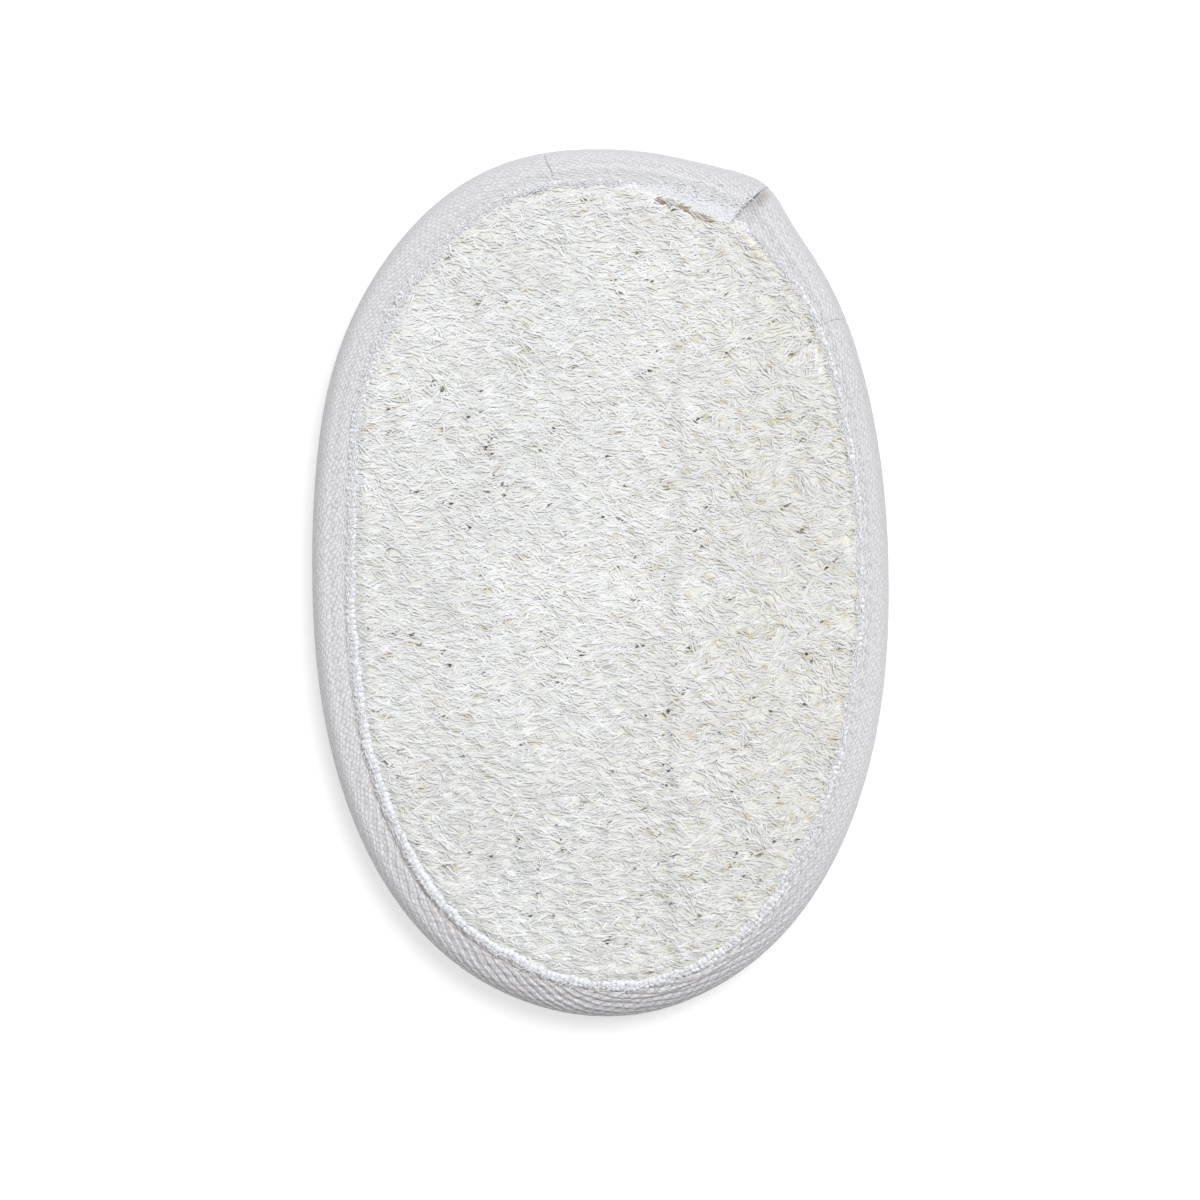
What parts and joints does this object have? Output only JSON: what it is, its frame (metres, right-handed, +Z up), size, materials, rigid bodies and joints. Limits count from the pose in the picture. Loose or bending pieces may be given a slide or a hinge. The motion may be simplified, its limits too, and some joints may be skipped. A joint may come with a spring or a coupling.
{
  "type": "oval loofah bath pad",
  "caption": "Oval pad of pressed natural loofah with a raised fibre net, its rim bound with a folded and stitched cotton tape.",
  "frame": {"origin": "middle of the footprint, on the surface that the pad's back rests on", "axes": "+Z up, out of the front face; +Y along the oval's length, towards the end where the tape laps; +X across its width"},
  "size_m": [0.1, 0.1503, 0.0109],
  "materials": {
    "loofah_fibre": "matted bleached plant fibre, matte, warm white with tan flecks",
    "cotton_tape": "white cotton twill weave, matte",
    "sewing_thread": "white spun thread, matte"
  },
  "bodies": {
    "root": {"loofah_pad": "loofah_fibre", "binding_tape": "cotton_tape", "seam_thread_front": "sewing_thread", "seam_thread_back": "sewing_thread"}
  },
  "joints": []
}
